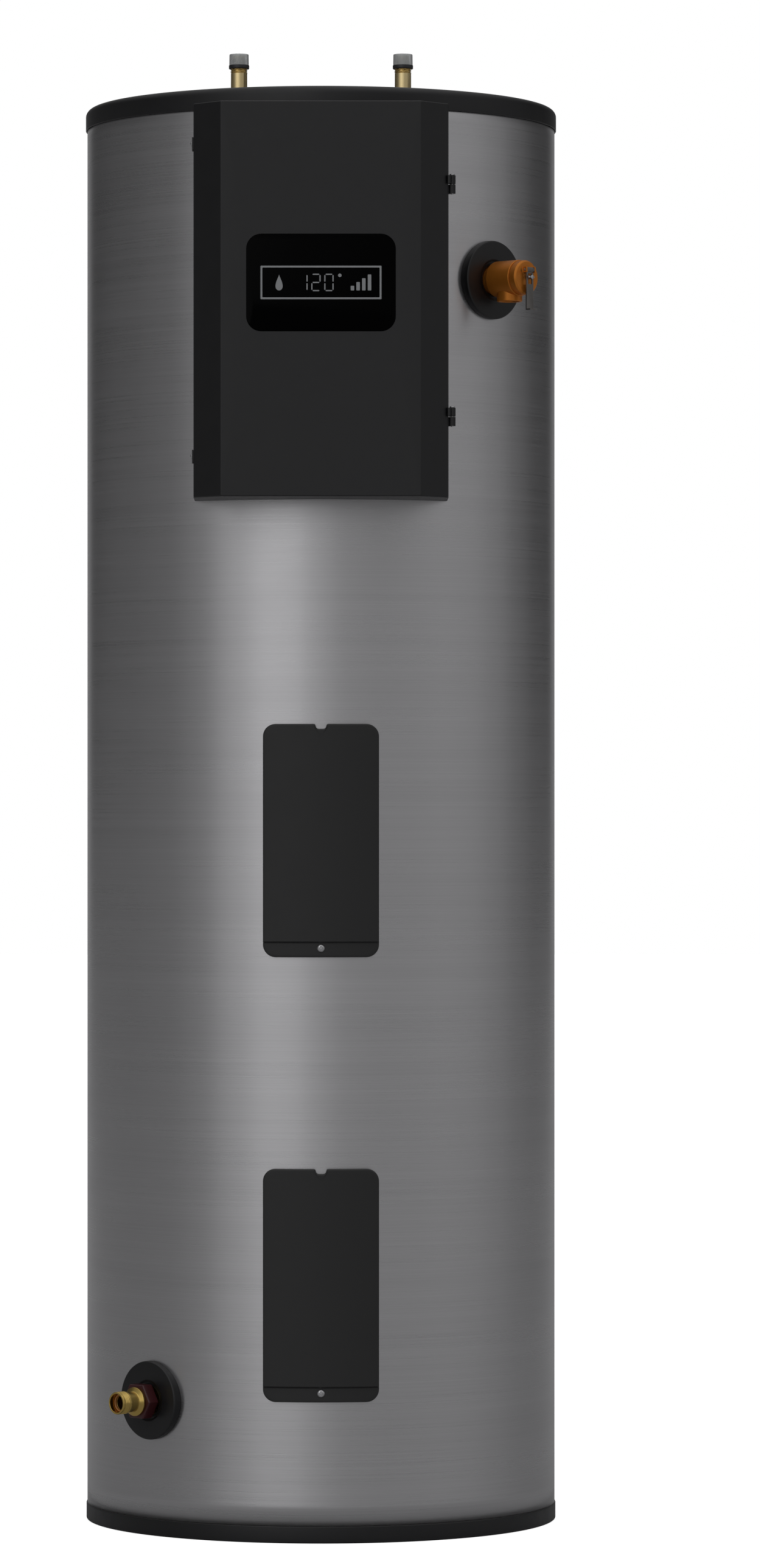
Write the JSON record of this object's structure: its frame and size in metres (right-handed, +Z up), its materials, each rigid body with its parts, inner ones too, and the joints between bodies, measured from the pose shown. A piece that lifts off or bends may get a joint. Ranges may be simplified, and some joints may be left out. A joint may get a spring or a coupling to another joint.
{
  "type": "tank water heater",
  "caption": "Tall cylindrical electric tank water heater with a brushed steel jacket, black control box, access covers, relief and drain valves.",
  "frame": {"origin": "on the tank's axis where the base pan meets the floor", "axes": "+Z up along the tank, -Y towards the front with the control box, +X to the right seen from the front"},
  "size_m": [0.587, 0.6609, 1.8285],
  "materials": {
    "stainless_jacket": "circumferentially brushed, satin",
    "black_shell": "black, fine satin texture",
    "black_cover": "black, fine satin texture",
    "gloss_window": "black gloss lens",
    "enamelled_steel": "bare and enamelled steel",
    "foam": "rigid polyurethane foam",
    "glass_wool": "glass wool",
    "brass": "machined",
    "bronze": "cast bronze, orange brown",
    "clear_plastic": "smoky translucent",
    "white_plastic": "natural white",
    "anode_metal": "dull as cast",
    "zinc_steel": "zinc plated",
    "bakelite": "dark phenolic",
    "rubber": "black",
    "circuit_board": "green board",
    "wire_sheath": "red sheath",
    "collar_plastic": "dark red brown",
    "amber_rubber": "amber",
    "red_plastic": "red"
  },
  "bodies": {
    "heater": {"anode_rod": "anode_metal", "base_pan": "black_shell", "cable_inlet_bushing": "black_shell", "cold_nipple": "brass", "cold_thread_protector": "clear_plastic", "contactor": "bakelite", "control_board": "circuit_board", "control_box_base": "black_shell", "dip_tube": "white_plastic", "drain_escutcheon": "black_shell", "drain_shank": "brass", "drain_spout": "brass", "drain_washer": "amber_rubber", "foam_insulation": "foam", "hot_nipple": "brass", "hot_thread_protector": "clear_plastic", "inner_tank": "enamelled_steel", "jacket": "stainless_jacket", "lower_element_gasket": "rubber", "lower_element_head": "bakelite", "lower_harness": "wire_sheath", "lower_heating_element": "zinc_steel", "lower_hinge_pin": "zinc_steel", "lower_shroud": "white_plastic", "lower_thermostat": "bakelite", "lower_thermostat_clip": "zinc_steel", "relief_bonnet": "bronze", "relief_escutcheon": "black_shell", "relief_lever_pin": "zinc_steel", "relief_spring": "zinc_steel", "relief_valve_body": "bronze", "terminal_block": "bakelite", "top_lid": "black_shell", "upper_element_gasket": "rubber", "upper_element_head": "bakelite", "upper_harness": "wire_sheath", "upper_heating_element": "zinc_steel", "upper_hinge_pin": "zinc_steel", "upper_shroud": "white_plastic", "upper_thermostat": "bakelite", "upper_thermostat_clip": "zinc_steel", "wire_grommet": "rubber"},
    "door": {"control_door": "black_shell", "display_lens": "gloss_window", "display_board": "circuit_board", "upper_door_screw": "zinc_steel", "lower_door_screw": "zinc_steel"},
    "relief_lever": {"relief_lever": "zinc_steel"},
    "relief_stem": {"relief_stem": "zinc_steel"},
    "drain_handle": {"drain_handle": "collar_plastic"},
    "drain_plug": {"drain_plug": "rubber"},
    "upper_dial": {"upper_dial": "white_plastic"},
    "lower_dial": {"lower_dial": "white_plastic"},
    "reset_button": {"reset_button": "red_plastic"},
    "upper_cover": {"upper_access_cover": "black_cover", "upper_cover_screw": "zinc_steel", "upper_insulation_pad": "glass_wool"},
    "lower_cover": {"lower_access_cover": "black_cover", "lower_cover_screw": "zinc_steel", "lower_insulation_pad": "glass_wool"}
  },
  "joints": [
    {"name": "door_hinge", "type": "hinge", "parent": "heater", "child": "door", "pos_m": [0.1574, -0.33, 1.494], "axis": [0, 0, 1], "range_deg": [0, 110]},
    {"name": "relief_lever_pull", "type": "hinge", "parent": "heater", "child": "relief_lever", "pos_m": [0.25244, -0.25244, 1.538], "axis": [-0.7071, -0.7071, 0], "range_deg": [0, 30], "stiffness_Nm_per_rad": 0.3, "deforming": ["relief_spring"]},
    {"name": "relief_stem_lift", "type": "slide", "parent": "heater", "child": "relief_stem", "axis": [0.7071, -0.7071, 0], "range_m": [0, 0.0053]},
    {"name": "drain_handle_turn", "type": "hinge", "parent": "heater", "child": "drain_handle", "pos_m": [-0.2192, -0.2192, 0.165], "axis": [-0.7071, -0.7071, 0], "range_deg": [0, 180]},
    {"name": "drain_plug_lift", "type": "slide", "parent": "heater", "child": "drain_plug", "axis": [-0.7071, -0.7071, 0], "range_m": [0, 0.0041]},
    {"name": "upper_dial_turn", "type": "hinge", "parent": "heater", "child": "upper_dial", "pos_m": [0, -0.262, 0.892], "axis": [0, -1, 0], "range_deg": [-60, 180]},
    {"name": "lower_dial_turn", "type": "hinge", "parent": "heater", "child": "lower_dial", "pos_m": [0, -0.262, 0.356], "axis": [0, -1, 0], "range_deg": [-60, 180]},
    {"name": "reset_button_push", "type": "slide", "parent": "heater", "child": "reset_button", "axis": [0, 1, 0], "range_m": [0, 0.0015], "stiffness_N_per_m": 300},
    {"name": "upper_cover_off", "type": "slide", "parent": "heater", "child": "upper_cover", "axis": [0, -1, 0], "range_m": [0, 0.06]},
    {"name": "lower_cover_off", "type": "slide", "parent": "heater", "child": "lower_cover", "axis": [0, -1, 0], "range_m": [0, 0.06]}
  ],
  "couplings": [
    {"joint": "relief_stem_lift", "follows": "relief_lever_pull", "m_per_rad": 0.01},
    {"joint": "drain_plug_lift", "follows": "drain_handle_turn", "m_per_rad": 0.0012732}
  ]
}
